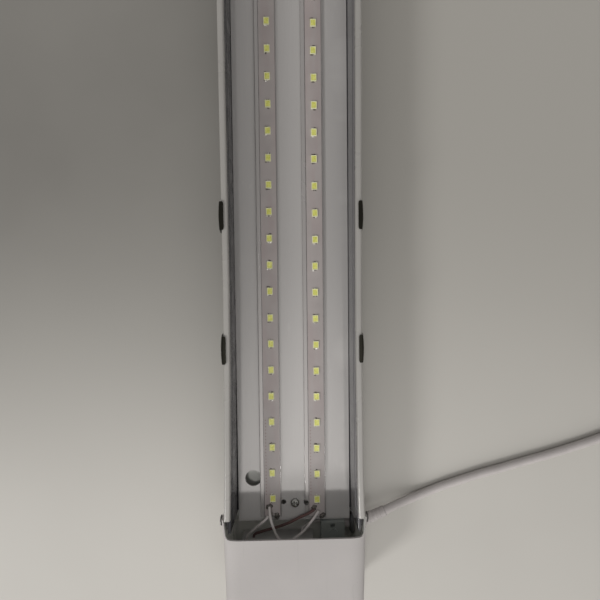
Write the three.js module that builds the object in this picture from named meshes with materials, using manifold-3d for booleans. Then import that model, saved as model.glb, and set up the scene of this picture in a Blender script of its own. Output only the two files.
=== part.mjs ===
// LED aquarium light: a shallow trough with two rows of LEDs on a bright tray, an end box at
// each end, spring clips along both rims and a mains cord leaving the side of one end box.
// Millimetres. X across, Y along the length (the cord leaves at -Y), Z up; the light lies on
// its back with its LEDs facing up, and the origin is the middle of the back.
import * as THREE from 'three';
import { mergeVertices } from 'three/addons/utils/BufferGeometryUtils.js';
import Module from 'manifold-3d';

// ---- Driving dimensions ---------------------------------------------------------------------
const GAP = 0.3;                       // clearance between touching pieces
const LED_PITCH = 50 / 3;              // 60 LEDs per metre
const LEDS_PER_ROW = 36;
const ROW_X = 14.35;                   // LED rows lie at plus and minus this, moved by ROWS_MIDDLE
const ROWS_MIDDLE = 0.6;
const RIGHT_ROW_SHIFT = -0.95;
const RIM_TOP = 42;
const RIM_OUTER = 39.8;
const RIM_INNER = 36.1;
const RIM_DEPTH = 3.8;
const WALL_OUTER = 39.2;
const WALL = 1.2;
const TROUGH_HALF = 290.7;             // half length of the trough
const SIDE_RAIL_HALF = 279.7;          // half length of its inner side rails
const TRAY_TOP = 11;
const TRAY_THICK = 1;
const TRAY_HALF_WIDTH = 35.8;
const TRAY_HALF = 307;
const BAR_BASE = TRAY_TOP + GAP;
const BAR_FLOOR = BAR_BASE + 0.6;
const BAR_LEDGE_TOP = BAR_BASE + 1.3;
const BAR_LEFT = -8;                   // backing bar's edges, from its LED row
const BAR_LEDGE = -5.4;
const BAR_RIGHT = 5.3;
const STRIP_BASE = BAR_FLOOR + GAP;
const STRIP_TOP = STRIP_BASE + 0.4;
const STRIP_LEFT = -5.1;
const STRIP_RIGHT = 4.9;
const STRIP_HALF = 303;
const LED_WIDE = 3.6;
const LED_LONG = 4.4;
const LED_HIGH = 0.8;
const BOX_HALF_WIDTH = 40.2;
const BOX_MOUTH = -291;                // where the end box's side walls start
const BOX_LIP = -302.3;                // where its top panel starts
const BOX_END = -356;
const BOX_WALL = 1.4;
const BOX_RADIUS = 4.3;
const SIDE_SCREW_SEAT = 43.1;          // clear of the box's leaning wall
const SIDE_SCREW_Y = -293.6;
const SIDE_SCREW_Z = 34;
const TRAY_SCREW_X = 0.5;
const TRAY_SCREW_Y = -295.4;
const SPARE_HOLES = [[-6.8, -295, 1.65], [7.8, -295.2, 1.65]];  // beside the tray screw: x, y, radius
// How far the walls lean out at rim height, by distance from the middle of the light: the clips
// draw the trough in a little and the end boxes spread it.
const TROUGH_LEAN = [
  [0, 0.45], [45, 0.3], [95, 0.05], [155, -0.25], [205, -0.05], [228, 0.35], [262, 0.7],
  [SIDE_RAIL_HALF, 0.95], [TROUGH_HALF, 1.4],
];
const BOX_LEAN = [[291, 3], [296, 2.3], [302, 1.7], [313, 1.35], [332, 0.8], [356, 0.2]];
const GLAND = new THREE.Vector3(BOX_HALF_WIDTH, -311.2, 8.4);   // where the cord gland meets the box
const GLAND_TURN = THREE.MathUtils.degToRad(23);                // its tail bends towards +Y
const GLAND_TAIL = 20;                 // length of its tapered tail
const CLIP_YS = [-191, -115, 115, 191];
const CLIP_LONG = 16;
const CLIP_THICK = 0.6;
const CLIP_FOOT = { x: 40.7, z: 12.9, radius: 0.8 };            // middle of the clip's rolled foot
const CORD_RADIUS = 2.8;
const WIRE_RADIUS = 0.85;
const COIL = { x: 258, y: -199, inner: 19.4, outer: 42.1, base: 0.85, top: 12.3 };
const COIL_EXIT_ANGLE = THREE.MathUtils.degToRad(20);           // where the cord leaves the coil
const TURN_OUTER = 39.2;               // radius of the coil's outermost turn
const TAIL_START = 23;                 // cord clear of the coil's solid, from the tangent point
const TAIL_END = 46;                   // where the cord meets the plug
const PLUG_AXIS_Z = 7;

// ---- Helpers --------------------------------------------------------------------------------
const wasm = await Module();
wasm.setup();

function solidOf(geometry) {
  const bare = geometry.clone();
  bare.deleteAttribute('normal');
  bare.deleteAttribute('uv');
  const merged = mergeVertices(bare, 1e-4);
  return new wasm.Manifold(new wasm.Mesh({
    numProp: 3,
    vertProperties: Float32Array.from(merged.attributes.position.array),
    triVerts: Uint32Array.from(merged.index.array),
  }));
}

function geometryOf(solid) {
  const mesh = solid.getMesh();
  const geometry = new THREE.BufferGeometry();
  geometry.setAttribute('position', new THREE.BufferAttribute(mesh.vertProperties, 3));
  geometry.setIndex(new THREE.BufferAttribute(mesh.triVerts, 1));
  return geometry;
}

function joined(...geometries) {
  return geometries.map(solidOf).reduce((sum, next) => sum.add(next));
}

function block([x0, x1], [y0, y1], [z0, z1]) {
  const geometry = new THREE.BoxGeometry(x1 - x0, y1 - y0, z1 - z0);
  return geometry.translate((x0 + x1) / 2, (y0 + y1) / 2, (z0 + z1) / 2);
}

function shapeOf(points) {
  return new THREE.Shape(points.map(([a, b]) => new THREE.Vector2(a, b)));
}

// Rectangle with one corner radius for its low side and one for its high side.
function roundedRect([a0, a1], [b0, b1], low, high) {
  const shape = new THREE.Shape();
  const corner = (a, b, radius, start) => {
    if (radius > 0) shape.absarc(a, b, radius, start, start + Math.PI / 2);
    else if (shape.curves.length) shape.lineTo(a, b);
    else shape.moveTo(a, b);
  };
  corner(a0 + low, b0 + low, low, Math.PI);
  corner(a1 - low, b0 + low, low, 1.5 * Math.PI);
  corner(a1 - high, b1 - high, high, 0);
  corner(a0 + high, b1 - high, high, 0.5 * Math.PI);
  shape.closePath();
  return shape;
}

function prism(shape, depth, options = {}) {
  return new THREE.ExtrudeGeometry(shape, { depth, bevelEnabled: false, curveSegments: 5, ...options });
}

// A shape drawn in (x, z), drawn out along Y.
function prismY(shape, [y0, y1], options) {
  return prism(shape, y1 - y0, options).rotateX(Math.PI / 2).translate(0, y1, 0);
}

// Moves a point outwards by its share of the lean that the table gives for its Y.
function leaning(table) {
  return (x, y, z) => {
    const far = Math.abs(y);
    const found = table.findIndex(([at]) => at >= far);
    const k = found < 0 ? table.length - 1 : Math.max(found, 1);
    const [[at0, lean0], [at1, lean1]] = [table[k - 1], table[k]];
    const lean = THREE.MathUtils.mapLinear(far, at0, at1, lean0, lean1);
    return [x * (1 + lean * z / RIM_TOP / WALL_OUTER), z];
  };
}

// A shape drawn in (x, z), drawn out along Y through stations, with each point moved.
function loftY(shape, stations, move) {
  const last = stations.length - 1;
  const geometry = prismY(shape, [0, last], { steps: last, curveSegments: 3 });
  const place = geometry.attributes.position;
  for (let k = 0; k < place.count; k += 1) {
    const y = stations[Math.round(place.getY(k))];
    const [x, z] = move(place.getX(k), y, place.getZ(k));
    place.setXYZ(k, x, y, z);
  }
  return geometry;
}

// Both ways from the middle, through each distance in a lean's table up to half the length.
function leanStations(table, half) {
  const far = [...table.map(([at]) => at).filter((at) => at > 0 && at < half), half];
  return [...far.map((at) => -at).reverse(), 0, ...far];
}

// A shape drawn in (x, y), drawn out along Z.
function prismZ(shape, [z0, z1], options) {
  return prism(shape, z1 - z0, options).translate(0, 0, z0);
}

// A shape drawn in (y, z), drawn out along X.
function prismX(shape, [x0, x1], options) {
  const turn = new THREE.Matrix4().set(0, 0, 1, x0, 1, 0, 0, 0, 0, 1, 0, 0, 0, 0, 0, 1);
  return prism(shape, x1 - x0, options).applyMatrix4(turn);
}

function rodZ(radius, [z0, z1], x = 0, y = 0, sides = 20) {
  const geometry = new THREE.CylinderGeometry(radius, radius, z1 - z0, sides);
  return geometry.rotateX(Math.PI / 2).translate(x, y, (z0 + z1) / 2);
}

function rodX(radius, [x0, x1], y, z, sides = 20) {
  const geometry = new THREE.CylinderGeometry(radius, radius, x1 - x0, sides);
  return geometry.rotateZ(Math.PI / 2).translate((x0 + x1) / 2, y, z);
}

// A profile of [radius, height] pairs turned about the Z axis.
function turned(profile, sides = 20) {
  const points = profile.map(([r, h]) => new THREE.Vector2(r, h));
  return new THREE.LatheGeometry(points, sides).rotateX(Math.PI / 2);
}

function circleShape(radius, sides) {
  const corners = Array.from({ length: sides }, (_, k) => 2 * Math.PI * (k + 0.5) / sides);
  return shapeOf(corners.map((a) => [radius * Math.cos(a), radius * Math.sin(a)]));
}

function tube(points, radius, sides, steps) {
  const path = new THREE.CatmullRomCurve3(points.map((p) => new THREE.Vector3(...p)), false, 'centripetal');
  return new THREE.ExtrudeGeometry(circleShape(radius, sides), { steps, extrudePath: path });
}

const light = new THREE.Group();

function add(name, geometry, [colour, roughness, metalness], parent = light) {
  const material = new THREE.MeshStandardMaterial({ color: colour, roughness, metalness });
  const mesh = new THREE.Mesh(geometry, material);
  mesh.name = name;
  parent.add(mesh);
  return mesh;
}

const WHITE_PAINT = [0xc9c7c4, 0.35, 0];
const GREY_PLASTIC = [0x5c5e62, 0.45, 0];
const TRAY_METAL = [0xb9b7b5, 0.15, 0.6];
const BAR_METAL = [0xc4c1bf, 0.2, 0.8];
const STRIP_BOARD = [0xb5abaa, 0.4, 0];
const STEEL = [0xb4b6b8, 0.18, 1];
const DARK_STEEL = [0x55575a, 0.4, 0.8];
const CASE_PLASTIC = [0xd6d4ce, 0.5, 0];
const BLOCK_PLASTIC = [0x6a6e6c, 0.5, 0];
const BOARD_GREEN = [0x3d6b4a, 0.5, 0];
const CORD_PVC = [0xd9d6d4, 0.45, 0];
const WIRE_GREY = [0x9a9490, 0.5, 0];
const WIRE_RED = [0x6b2f2a, 0.5, 0];
const TIE_BLACK = [0x2a2a2c, 0.5, 0];

const both = [['near', 0], ['far', Math.PI]];

// ---- Trough, inner side rails and tray ------------------------------------------------------
// Thin-walled U with a rolled rim along each edge and a hooked rail low on each side, in
// which the clips' feet sit.
function trough() {
  const base = 4;
  const stations = leanStations(TROUGH_LEAN, TROUGH_HALF);
  const past = [-TROUGH_HALF - 1, ...stations.slice(1, -1), TROUGH_HALF + 1];
  const drawn = (shape, through = stations) => solidOf(loftY(shape, through, leaning(TROUGH_LEAN)));
  const inside = WALL_OUTER - WALL;
  let whole = drawn(roundedRect([-WALL_OUTER, WALL_OUTER], [0, RIM_TOP - 1], base, 0))
    .subtract(drawn(roundedRect([-inside, inside], [WALL, RIM_TOP + 1], base - WALL, 0), past));
  for (const side of [-1, 1]) {
    const xs = [side * RIM_INNER, side * RIM_OUTER].sort((a, b) => a - b);
    const rim = roundedRect(xs, [RIM_TOP - RIM_DEPTH, RIM_TOP], 1, 1.2);
    const hook = [[38.6, 10.4], [43, 10.4], [43, 12.8], [42.2, 12.8], [42.2, 11.4], [38.6, 11.4]];
    const rail = shapeOf(side > 0 ? hook : hook.map(([x, z]) => [-x, z]).reverse());
    whole = whole.add(drawn(rim)).add(drawn(rail));
  }
  return geometryOf(whole);
}

// Grey inner wall with a cover groove near its top and a ledge that carries the tray.
function sideRail() {
  const outer = WALL_OUTER - WALL - GAP;
  const section = shapeOf([
    [outer, 4.5], [outer, RIM_TOP - RIM_DEPTH - GAP], [RIM_INNER, RIM_TOP - RIM_DEPTH - GAP],
    [RIM_INNER, 32.4], [RIM_INNER + 0.8, 32.4], [RIM_INNER + 0.8, 31.2], [RIM_INNER, 31.2],
    [RIM_INNER, TRAY_TOP - TRAY_THICK - GAP], [32.5, TRAY_TOP - TRAY_THICK - GAP],
    [32.5, 8.4], [RIM_INNER, 8.4], [RIM_INNER, 4.5],
  ]);
  return loftY(section, leanStations(TROUGH_LEAN, SIDE_RAIL_HALF), leaning(TROUGH_LEAN));
}

// Drills holes [x, y, radius] down through a solid, at both ends of the light.
function drilled(solid, holes) {
  const depth = [TRAY_TOP - TRAY_THICK - 1, BAR_LEDGE_TOP + 1];
  return holes.reduce((left, [x, y, radius]) => left
    .subtract(solidOf(rodZ(radius, depth, x, y, 24)))
    .subtract(solidOf(rodZ(radius, depth, -x, -y, 24))), solid);
}

function tray() {
  const floor = [TRAY_TOP - TRAY_THICK, TRAY_TOP];
  const plate = solidOf(block([-TRAY_HALF_WIDTH, TRAY_HALF_WIDTH], [-TRAY_HALF, TRAY_HALF], floor));
  const holes = [[-26.2, -278.9, 5.2], ...SPARE_HOLES, [TRAY_SCREW_X, TRAY_SCREW_Y, 1.8]];
  return geometryOf(drilled(plate, holes));
}

add('trough', trough(), WHITE_PAINT);
const railShape = sideRail();
add('side_rail_right', railShape, GREY_PLASTIC);
add('side_rail_left', railShape.clone(), GREY_PLASTIC).rotation.z = Math.PI;
add('reflector_tray', tray(), TRAY_METAL);

// ---- LED rows: aluminium backing bar and LED strip ------------------------------------------
// The spare holes beside the tray screws nick the bars' edges.
function backingBar([rowX, rowY]) {
  const section = shapeOf([
    [BAR_LEFT, BAR_BASE], [BAR_RIGHT, BAR_BASE], [BAR_RIGHT, BAR_FLOOR], [BAR_LEDGE, BAR_FLOOR],
    [BAR_LEDGE, BAR_LEDGE_TOP], [BAR_LEFT, BAR_LEDGE_TOP],
  ]);
  const bar = prismY(section, [-STRIP_HALF - 1, STRIP_HALF + 1]).translate(rowX, rowY, 0);
  return geometryOf(drilled(solidOf(bar), SPARE_HOLES)).translate(-rowX, -rowY, 0);
}

function ledStrip() {
  let strip = solidOf(block([STRIP_LEFT, STRIP_RIGHT], [-STRIP_HALF, STRIP_HALF], [STRIP_BASE, STRIP_TOP]));
  for (let k = 0; k < LEDS_PER_ROW; k += 1) {
    const y = (k - (LEDS_PER_ROW - 1) / 2) * LED_PITCH;
    strip = strip.add(solidOf(block(
      [-LED_WIDE / 2, LED_WIDE / 2],
      [y - LED_LONG / 2, y + LED_LONG / 2],
      [STRIP_BASE, STRIP_TOP + LED_HIGH],
    )));
  }
  return geometryOf(strip);
}

for (const [side, x, shift] of [['left', -ROW_X, 0], ['right', ROW_X, RIGHT_ROW_SHIFT]]) {
  const row = new THREE.Group();
  row.position.set(ROWS_MIDDLE + x, shift, 0);
  add(`backing_bar_${side}`, backingBar([ROWS_MIDDLE + x, shift]), BAR_METAL, row);
  add(`led_strip_${side}`, ledStrip(), STRIP_BOARD, row);
  light.add(row);
}

// ---- Inside the trough's ends: bracket, standoff and tray support ---------------------------
// U of steel sheet that joins the trough to the end box; its ears take the side screws.
function endBracket() {
  const out = 37.6;
  const thick = 1.2;
  const top = RIM_TOP - RIM_DEPTH - GAP;
  const half = [[0, 1.5], [out - 3, 1.5], [out, 4.5], [out, top]];
  const back = [[out - thick, top], [out - thick, 5], [out - 3.5, 1.5 + thick], [0, 1.5 + thick]];
  const mirrored = (points) => points.map(([x, z]) => [-x, z]).reverse();
  const sheet = prismY(
    shapeOf([...half, ...back.slice(0, -1), ...mirrored(back.slice(0, -1)), ...mirrored(half.slice(1))]),
    [-304.9, -280],
  );
  return geometryOf(solidOf(sheet).subtract(solidOf(rodX(1.8, [-50, 50], SIDE_SCREW_Y, SIDE_SCREW_Z))));
}

function standoff() {
  const ring = solidOf(rodZ(4, [3, TRAY_TOP - TRAY_THICK - GAP], TRAY_SCREW_X, TRAY_SCREW_Y));
  return geometryOf(ring.subtract(solidOf(rodZ(1.8, [2, TRAY_TOP], TRAY_SCREW_X, TRAY_SCREW_Y))));
}

function traySupport() {
  const top = TRAY_TOP - TRAY_THICK - GAP;
  return prismY(shapeOf([
    [-30, 1.5], [-20, 1.5], [-18, top - 1.2], [18, top - 1.2], [20, 1.5], [30, 1.5], [30, 2.7],
    [21, 2.7], [19, top], [-19, top], [-21, 2.7], [-30, 2.7],
  ]), [-110, -90]);
}

// Pan-head screw, head up, with a cross recess; its seat is at z = 0.
function panScrew(headRadius, headHigh, shankRadius, shankLong) {
  const head = turned([
    [0, 0], [headRadius, 0], [headRadius, 0.45 * headHigh], [0.8 * headRadius, 0.85 * headHigh],
    [0.4 * headRadius, headHigh], [0, headHigh],
  ], 16);
  const shank = rodZ(shankRadius, [-shankLong, 0.2], 0, 0, 12);
  const slot = 0.22 * headRadius;
  const reach = 0.62 * headRadius;
  const depth = [0.45 * headHigh, headHigh + 1];
  return geometryOf(joined(head, shank)
    .subtract(solidOf(block([-slot, slot], [-reach, reach], depth)))
    .subtract(solidOf(block([-reach, reach], [-slot, slot], depth))));
}

for (const [end, turn] of both) {
  add(`end_bracket_${end}`, endBracket(), DARK_STEEL).rotation.z = turn;
  add(`tray_standoff_${end}`, standoff(), STEEL).rotation.z = turn;
  add(`tray_support_${end}`, traySupport(), DARK_STEEL).rotation.z = turn;
  const pivot = new THREE.Group();
  pivot.rotation.z = turn;
  light.add(pivot);
  add(`tray_screw_${end}`, panScrew(2.85, 1.9, 1.5, 7), STEEL, pivot)
    .position.set(TRAY_SCREW_X, TRAY_SCREW_Y, TRAY_TOP + GAP);
  for (const [side, sign] of [['left', -1], ['right', 1]]) {
    const screw = add(`side_screw_${end}_${side}`, panScrew(3, 1.2, 1.5, 6.9), STEEL, pivot);
    screw.position.set(sign * SIDE_SCREW_SEAT, SIDE_SCREW_Y, SIDE_SCREW_Z);
    screw.rotation.y = sign * Math.PI / 2;
  }
}

// ---- End boxes ------------------------------------------------------------------------------
// Leaning rounded box: its end closes in over the radius, and it is open at its mouth.
function roundedBox(half, [z0, z1], end, mouth, radius) {
  const closing = [0, 1, 2, 3, 4].map((k) => end + radius * (1 - Math.cos(k * Math.PI / 8)));
  const table = BOX_LEAN.map(([at]) => -at).reverse().filter((y) => y > end + radius && y < mouth);
  const halfHigh = (z1 - z0) / 2;
  const middle = (z1 + z0) / 2;
  const lean = leaning(BOX_LEAN);
  const section = roundedRect([-half, half], [z0, z1], radius * 0.7, radius);
  return solidOf(loftY(section, [...closing, ...table, mouth], (x, y, z) => {
    const reach = Math.max(radius - (y - end), 0);
    const inset = radius - Math.sqrt(Math.max(radius ** 2 - reach ** 2, 0));
    return lean(x * (1 - inset / half), y, middle + (z - middle) * (1 - inset / halfHigh));
  }));
}

// The box's top panel is cut back behind its side walls.
function endBox(withGland) {
  const outer = roundedBox(BOX_HALF_WIDTH, [0, RIM_TOP], BOX_END, BOX_MOUTH, BOX_RADIUS);
  const inner = roundedBox(
    BOX_HALF_WIDTH - BOX_WALL, [BOX_WALL, RIM_TOP - BOX_WALL], BOX_END + BOX_WALL, BOX_MOUTH + 5,
    BOX_RADIUS - BOX_WALL,
  );
  const cut = roundedBox(39, [RIM_TOP / 2, RIM_TOP + 25], BOX_LIP, BOX_MOUTH + 10, 2.5);
  let shell = outer.subtract(inner).subtract(cut)
    .subtract(solidOf(rodX(1.8, [-50, 50], SIDE_SCREW_Y, SIDE_SCREW_Z)));
  if (withGland) shell = shell.subtract(solidOf(rodX(5.1, [30, 50], GLAND.y, GLAND.z, 24)));
  return geometryOf(shell);
}

add('end_box_near', endBox(true), WHITE_PAINT);
add('end_box_far', endBox(false), WHITE_PAINT).rotation.z = Math.PI;

// ---- Spring clips on the rims ---------------------------------------------------------------
// Bent steel leaf: rolled foot in the trough's hook rail, bowed leaf outside the wall, and a
// top hooked over the rim. Drawn for the right side about its foot, which is its hinge.
function clip() {
  const half = CLIP_THICK / 2;
  const { radius } = CLIP_FOOT;
  const curl = Array.from({ length: 7 }, (_, k) => Math.PI * (0.75 + 1.25 * k / 6));
  const middle = [
    ...curl.map((a) => [radius * Math.cos(a), radius * Math.sin(a)]),
    [0.75, 2.4], [1.0, 7], [1.15, 14], [0.95, 21], [0.4, 26.5], [-0.1, 28.9], [-0.7, 29.75], [-2.85, 29.85],
  ];
  const sideOf = (sign) => middle.map(([x, z], k) => {
    const before = middle[Math.max(k - 1, 0)];
    const after = middle[Math.min(k + 1, middle.length - 1)];
    const [dx, dz] = [after[0] - before[0], after[1] - before[1]];
    const length = Math.hypot(dx, dz);
    return [x + sign * half * dz / length, z - sign * half * dx / length];
  });
  const outline = shapeOf([...sideOf(1), ...sideOf(-1).reverse()]);
  const leaf = prismY(outline, [-CLIP_LONG / 2, CLIP_LONG / 2], { steps: 6 });
  const place = leaf.attributes.position;
  for (let k = 0; k < place.count; k += 1) {
    const bow = 0.6 * (1 - (2 * place.getY(k) / CLIP_LONG) ** 2);
    const raised = THREE.MathUtils.clamp(place.getZ(k) / 10, 0, 1);
    const share = raised * THREE.MathUtils.clamp((place.getX(k) + 3) / 3, 0, 1);
    place.setX(k, place.getX(k) + bow * share);
  }
  return leaf;
}

for (const [side, turn] of [['right', 0], ['left', Math.PI]]) {
  CLIP_YS.forEach((y, k) => {
    const sign = turn === 0 ? 1 : -1;
    const mesh = add(`clip_${side}_${k + 1}`, clip(), STEEL);
    mesh.position.set(sign * CLIP_FOOT.x, y, CLIP_FOOT.z);
    mesh.rotation.z = turn;
  });
}

// ---- Inside the near end box: driver, terminal block and wires ------------------------------
const DRIVER = { x: [-34, 12], y: [-352, -318], z: [2, 20] };

function driverCase() {
  const { x, y, z } = DRIVER;
  const hollow = block([x[0] + 1.5, x[1] - 1.5], [y[0] + 1.5, y[1] - 1.5], [z[0] + 1.5, z[1] + 5]);
  return geometryOf(solidOf(block(x, y, z)).subtract(solidOf(hollow)));
}

function driverBoard() {
  const { x, y } = DRIVER;
  return geometryOf(joined(
    block([x[0] + 2, x[1] - 2], [y[0] + 2, y[1] - 2], [5, 6.2]),
    block([-28, -14], [-348, -334], [6, 16]),
    block([-10, -2], [-346, -338], [6, 14]),
    rodZ(4, [6, 17], 3, -343, 16),
    rodZ(2.6, [6, 13], 4, -328, 14),
    block([-30, -18], [-328, -322], [6, 10]),
  ));
}

function terminalBlock() {
  const body = block([17.3, 32.5], [-326, -307.5], [1.8, 13.2]);
  const boss = rodZ(3.15, [13, 14.4], 24.8, -315, 20);
  const slots = [-321.6, -310.2].map((y) => solidOf(rodZ(1.6, [10, 20], 24.8, y, 14)));
  return geometryOf(slots.reduce((sum, slot) => sum.subtract(slot), joined(body, boss)));
}

add('driver_case', driverCase(), CASE_PLASTIC);
add('driver_lid', block(DRIVER.x, DRIVER.y, [DRIVER.z[1] + GAP, DRIVER.z[1] + 1.8]), CASE_PLASTIC);
add('driver_board', driverBoard(), BOARD_GREEN);
add('terminal_block', terminalBlock(), BLOCK_PLASTIC);

const WIRES = [
  ['jumper_wire', WIRE_GREY, [
    [-15.9, -296.8, 13.9], [-15.5, -300, 17.5], [-14.1, -303.9, 21], [-11.6, -309.3, 23.4],
    [-9.5, -312, 24.2], [-6.1, -314.2, 24.2], [-2.3, -313.5, 23.4], [5.3, -309.5, 20.8], [10.5, -304.9, 18],
    [15.6, -300.1, 13.9],
  ]],
  ['supply_wire_return', WIRE_GREY, [
    [-16.8, -302.6, 13.7], [-18.6, -304.6, 14.8], [-24.6, -309, 16], [-29.5, -313.4, 15.6], [-31, -317.6, 14.4],
  ]],
  ['supply_wire_red', WIRE_RED, [
    [12.9, -299.2, 13.7], [8.4, -301.6, 14.2], [3.6, -303.9, 13.7], [-3, -307.4, 13.2], [-9.4, -310, 12.8],
    [-20, -313.2, 12.2], [-25.5, -315.4, 11.6], [-26.5, -317.6, 11],
  ]],
  ['mains_wire_live', WIRE_RED, [
    [17, -323.6, 6], [15.6, -323.9, 6.2], [14.2, -324.1, 6.6], [12.4, -324.1, 6.8],
  ]],
  ['mains_wire_neutral', WIRE_GREY, [
    [17, -310.5, 6], [13, -310.8, 6.4], [9, -311.6, 7], [6, -313.4, 7.7], [5, -315.4, 8.2], [4.8, -317.6, 8.4],
  ]],
];
for (const [name, finish, points] of WIRES) {
  add(name, tube(points, WIRE_RADIUS, 8, 2 * (points.length - 1)), finish);
}

// ---- Mains cord: gland, inner end, run over the floor, coil, tie and plug -------------------
// Grommet clamped through the box's wall, with a tapered tail that turns with the cord.
function gland() {
  const flange = (radius, [x0, x1]) => rodX(radius, [x0, x1], GLAND.y, GLAND.z, 24);
  const inside = GLAND.x - BOX_WALL;
  const tail = turned([[0, -1], [3.9, -1], [3.9, 2], [3.2, GLAND_TAIL], [0, GLAND_TAIL]], 24)
    .rotateY(Math.PI / 2)
    .rotateZ(GLAND_TURN)
    .translate(GLAND.x + 1, GLAND.y, GLAND.z);
  return geometryOf(joined(
    flange(5.8, [inside - GAP - 1.6, inside - GAP]),
    flange(4.7, [inside - 2.6, GLAND.x + 1.5]),
    flange(6, [GLAND.x + 0.9, GLAND.x + 2.2]),     // clear of the leaning wall
    tail,
  ));
}

const tailLong = GLAND_TAIL + GAP;
const exit = [
  GLAND.x + 1 + tailLong * Math.cos(GLAND_TURN),
  GLAND.y + tailLong * Math.sin(GLAND_TURN),
  GLAND.z,
];
const FLOOR_Z = CORD_RADIUS + 0.05;
const CORD_ROUTE = [
  exit, [63.5, -301.8, 8], [68, -300.2, 7.1], [73, -298.9, 5.8], [78, -297.7, 4.5], [83.8, -296, 3.4],
  [90, -294, FLOOR_Z], [98.1, -290.9, FLOOR_Z], [111.6, -286.8, FLOOR_Z], [125.2, -282.7, FLOOR_Z],
  [138.8, -279.3, FLOOR_Z], [153.7, -275.2, FLOOR_Z], [168, -271.6, FLOOR_Z], [184, -267, FLOOR_Z],
  [200, -262.1, FLOOR_Z],
  [217, -256.2, FLOOR_Z], [234, -249.8, FLOOR_Z], [249.4, -243.9, FLOOR_Z],
];

const leaving = new THREE.Vector3(-Math.sin(COIL_EXIT_ANGLE), Math.cos(COIL_EXIT_ANGLE), 0);
const tangent = new THREE.Vector3(
  COIL.x + TURN_OUTER * Math.cos(COIL_EXIT_ANGLE),
  COIL.y + TURN_OUTER * Math.sin(COIL_EXIT_ANGLE),
  0,
);
const alongTail = (s, z) => tangent.clone().addScaledVector(leaving, s).setZ(z).toArray();

function coilRing() {
  const { inner, outer, base, top } = COIL;
  return turned([[inner, base], [outer, base], [outer, top], [inner, top], [inner, base]], 32);
}

// Strap wrapped round the coil's bundle of turns.
function cordTie() {
  const wide = [COIL.inner - GAP, COIL.outer + GAP];
  const high = [COIL.base - GAP, COIL.top + GAP];
  const strap = 0.5;
  const outer = block([-3, 3], [wide[0] - strap, wide[1] + strap], [high[0] - strap, high[1] + strap]);
  return geometryOf(solidOf(outer).subtract(solidOf(block([-4, 4], wide, high))));
}

function plugBody() {
  const half = PLUG_AXIS_Z - 2;
  const outline = shapeOf([[-6, 0], [6, 0], [9, 4], [12, 16], [12.4, 33], [-12.4, 33], [-12, 16], [-9, 4]]);
  const body = new THREE.ExtrudeGeometry(outline, {
    depth: 2 * half, bevelEnabled: true, bevelThickness: 2, bevelSize: 1.2, bevelOffset: -1.2, bevelSegments: 2,
  });
  return body.translate(0, 0, -half);
}

add('cord_gland', gland(), CORD_PVC);
add('cord_inner_end', rodX(CORD_RADIUS, [32.8, GLAND.x - BOX_WALL - 2.6 - GAP], GLAND.y, GLAND.z, 10), CORD_PVC);
add('mains_cord', tube(CORD_ROUTE, CORD_RADIUS, 10, 24), CORD_PVC);
add('cord_coil', coilRing(), CORD_PVC).position.set(COIL.x, COIL.y, 0);
const tie = add('cord_tie', cordTie(), TIE_BLACK);
tie.position.set(COIL.x, COIL.y, 0);
add('cord_to_plug', tube([
  alongTail(TAIL_START, 9), alongTail(31, 8.2), alongTail(39, 7.3), alongTail(TAIL_END - GAP, PLUG_AXIS_Z),
], CORD_RADIUS, 10, 4), CORD_PVC);

const plug = new THREE.Group();
plug.position.set(...alongTail(TAIL_END, PLUG_AXIS_Z));
plug.rotation.z = COIL_EXIT_ANGLE;
light.add(plug);
add('plug_relief', turned([[0, 0], [3.6, 0], [5.2, 21.7], [0, 21.7]], 16).rotateX(-Math.PI / 2), CORD_PVC, plug);
add('plug_body', plugBody(), CORD_PVC, plug).position.y = 22;
for (const [name, x] of [['plug_pin_left', -9.3], ['plug_pin_right', 9.3]]) {
  const pin = turned([[0, 0], [2, 0], [2, 17.4], [1.2, 18.6], [0, 18.6]], 14).rotateX(-Math.PI / 2);
  add(name, pin, STEEL, plug).position.set(x, 22 + 33 + GAP, 0);
}

export default light;
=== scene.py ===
"""Looks of the LED aquarium light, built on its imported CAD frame.

Lengths in the tables below are millimetres in the frame's own axes: X across the light, Y along
it with the cord end at -Y, Z up from the flat back. MM turns them into Blender's metres.
"""
import math
import random

import bmesh
import bpy
from mathutils import Matrix, Vector


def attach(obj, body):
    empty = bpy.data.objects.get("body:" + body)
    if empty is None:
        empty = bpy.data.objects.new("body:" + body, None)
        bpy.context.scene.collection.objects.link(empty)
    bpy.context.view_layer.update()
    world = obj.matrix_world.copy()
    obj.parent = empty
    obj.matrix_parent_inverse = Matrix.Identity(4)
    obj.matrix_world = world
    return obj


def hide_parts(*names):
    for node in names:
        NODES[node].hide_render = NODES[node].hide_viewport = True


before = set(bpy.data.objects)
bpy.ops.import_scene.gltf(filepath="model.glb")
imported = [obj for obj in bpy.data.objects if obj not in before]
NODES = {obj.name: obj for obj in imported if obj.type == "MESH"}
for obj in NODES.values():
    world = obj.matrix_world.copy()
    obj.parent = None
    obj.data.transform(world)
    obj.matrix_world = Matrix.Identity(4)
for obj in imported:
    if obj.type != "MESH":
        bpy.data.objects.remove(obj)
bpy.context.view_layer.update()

MM = 0.001
LIGHT = "light"
scene = bpy.context.scene

# ---- Camera: above the cord end, looking straight down with a small lean ---------------------
CAMERA_AT = Vector((-1.7, -152.2, 297.4)) * MM
CAMERA_LOOKS = Vector((0.0241, -0.0414, -0.9989))
CAMERA_UP = Vector((0.0118, 0.9991, -0.0411))

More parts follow.
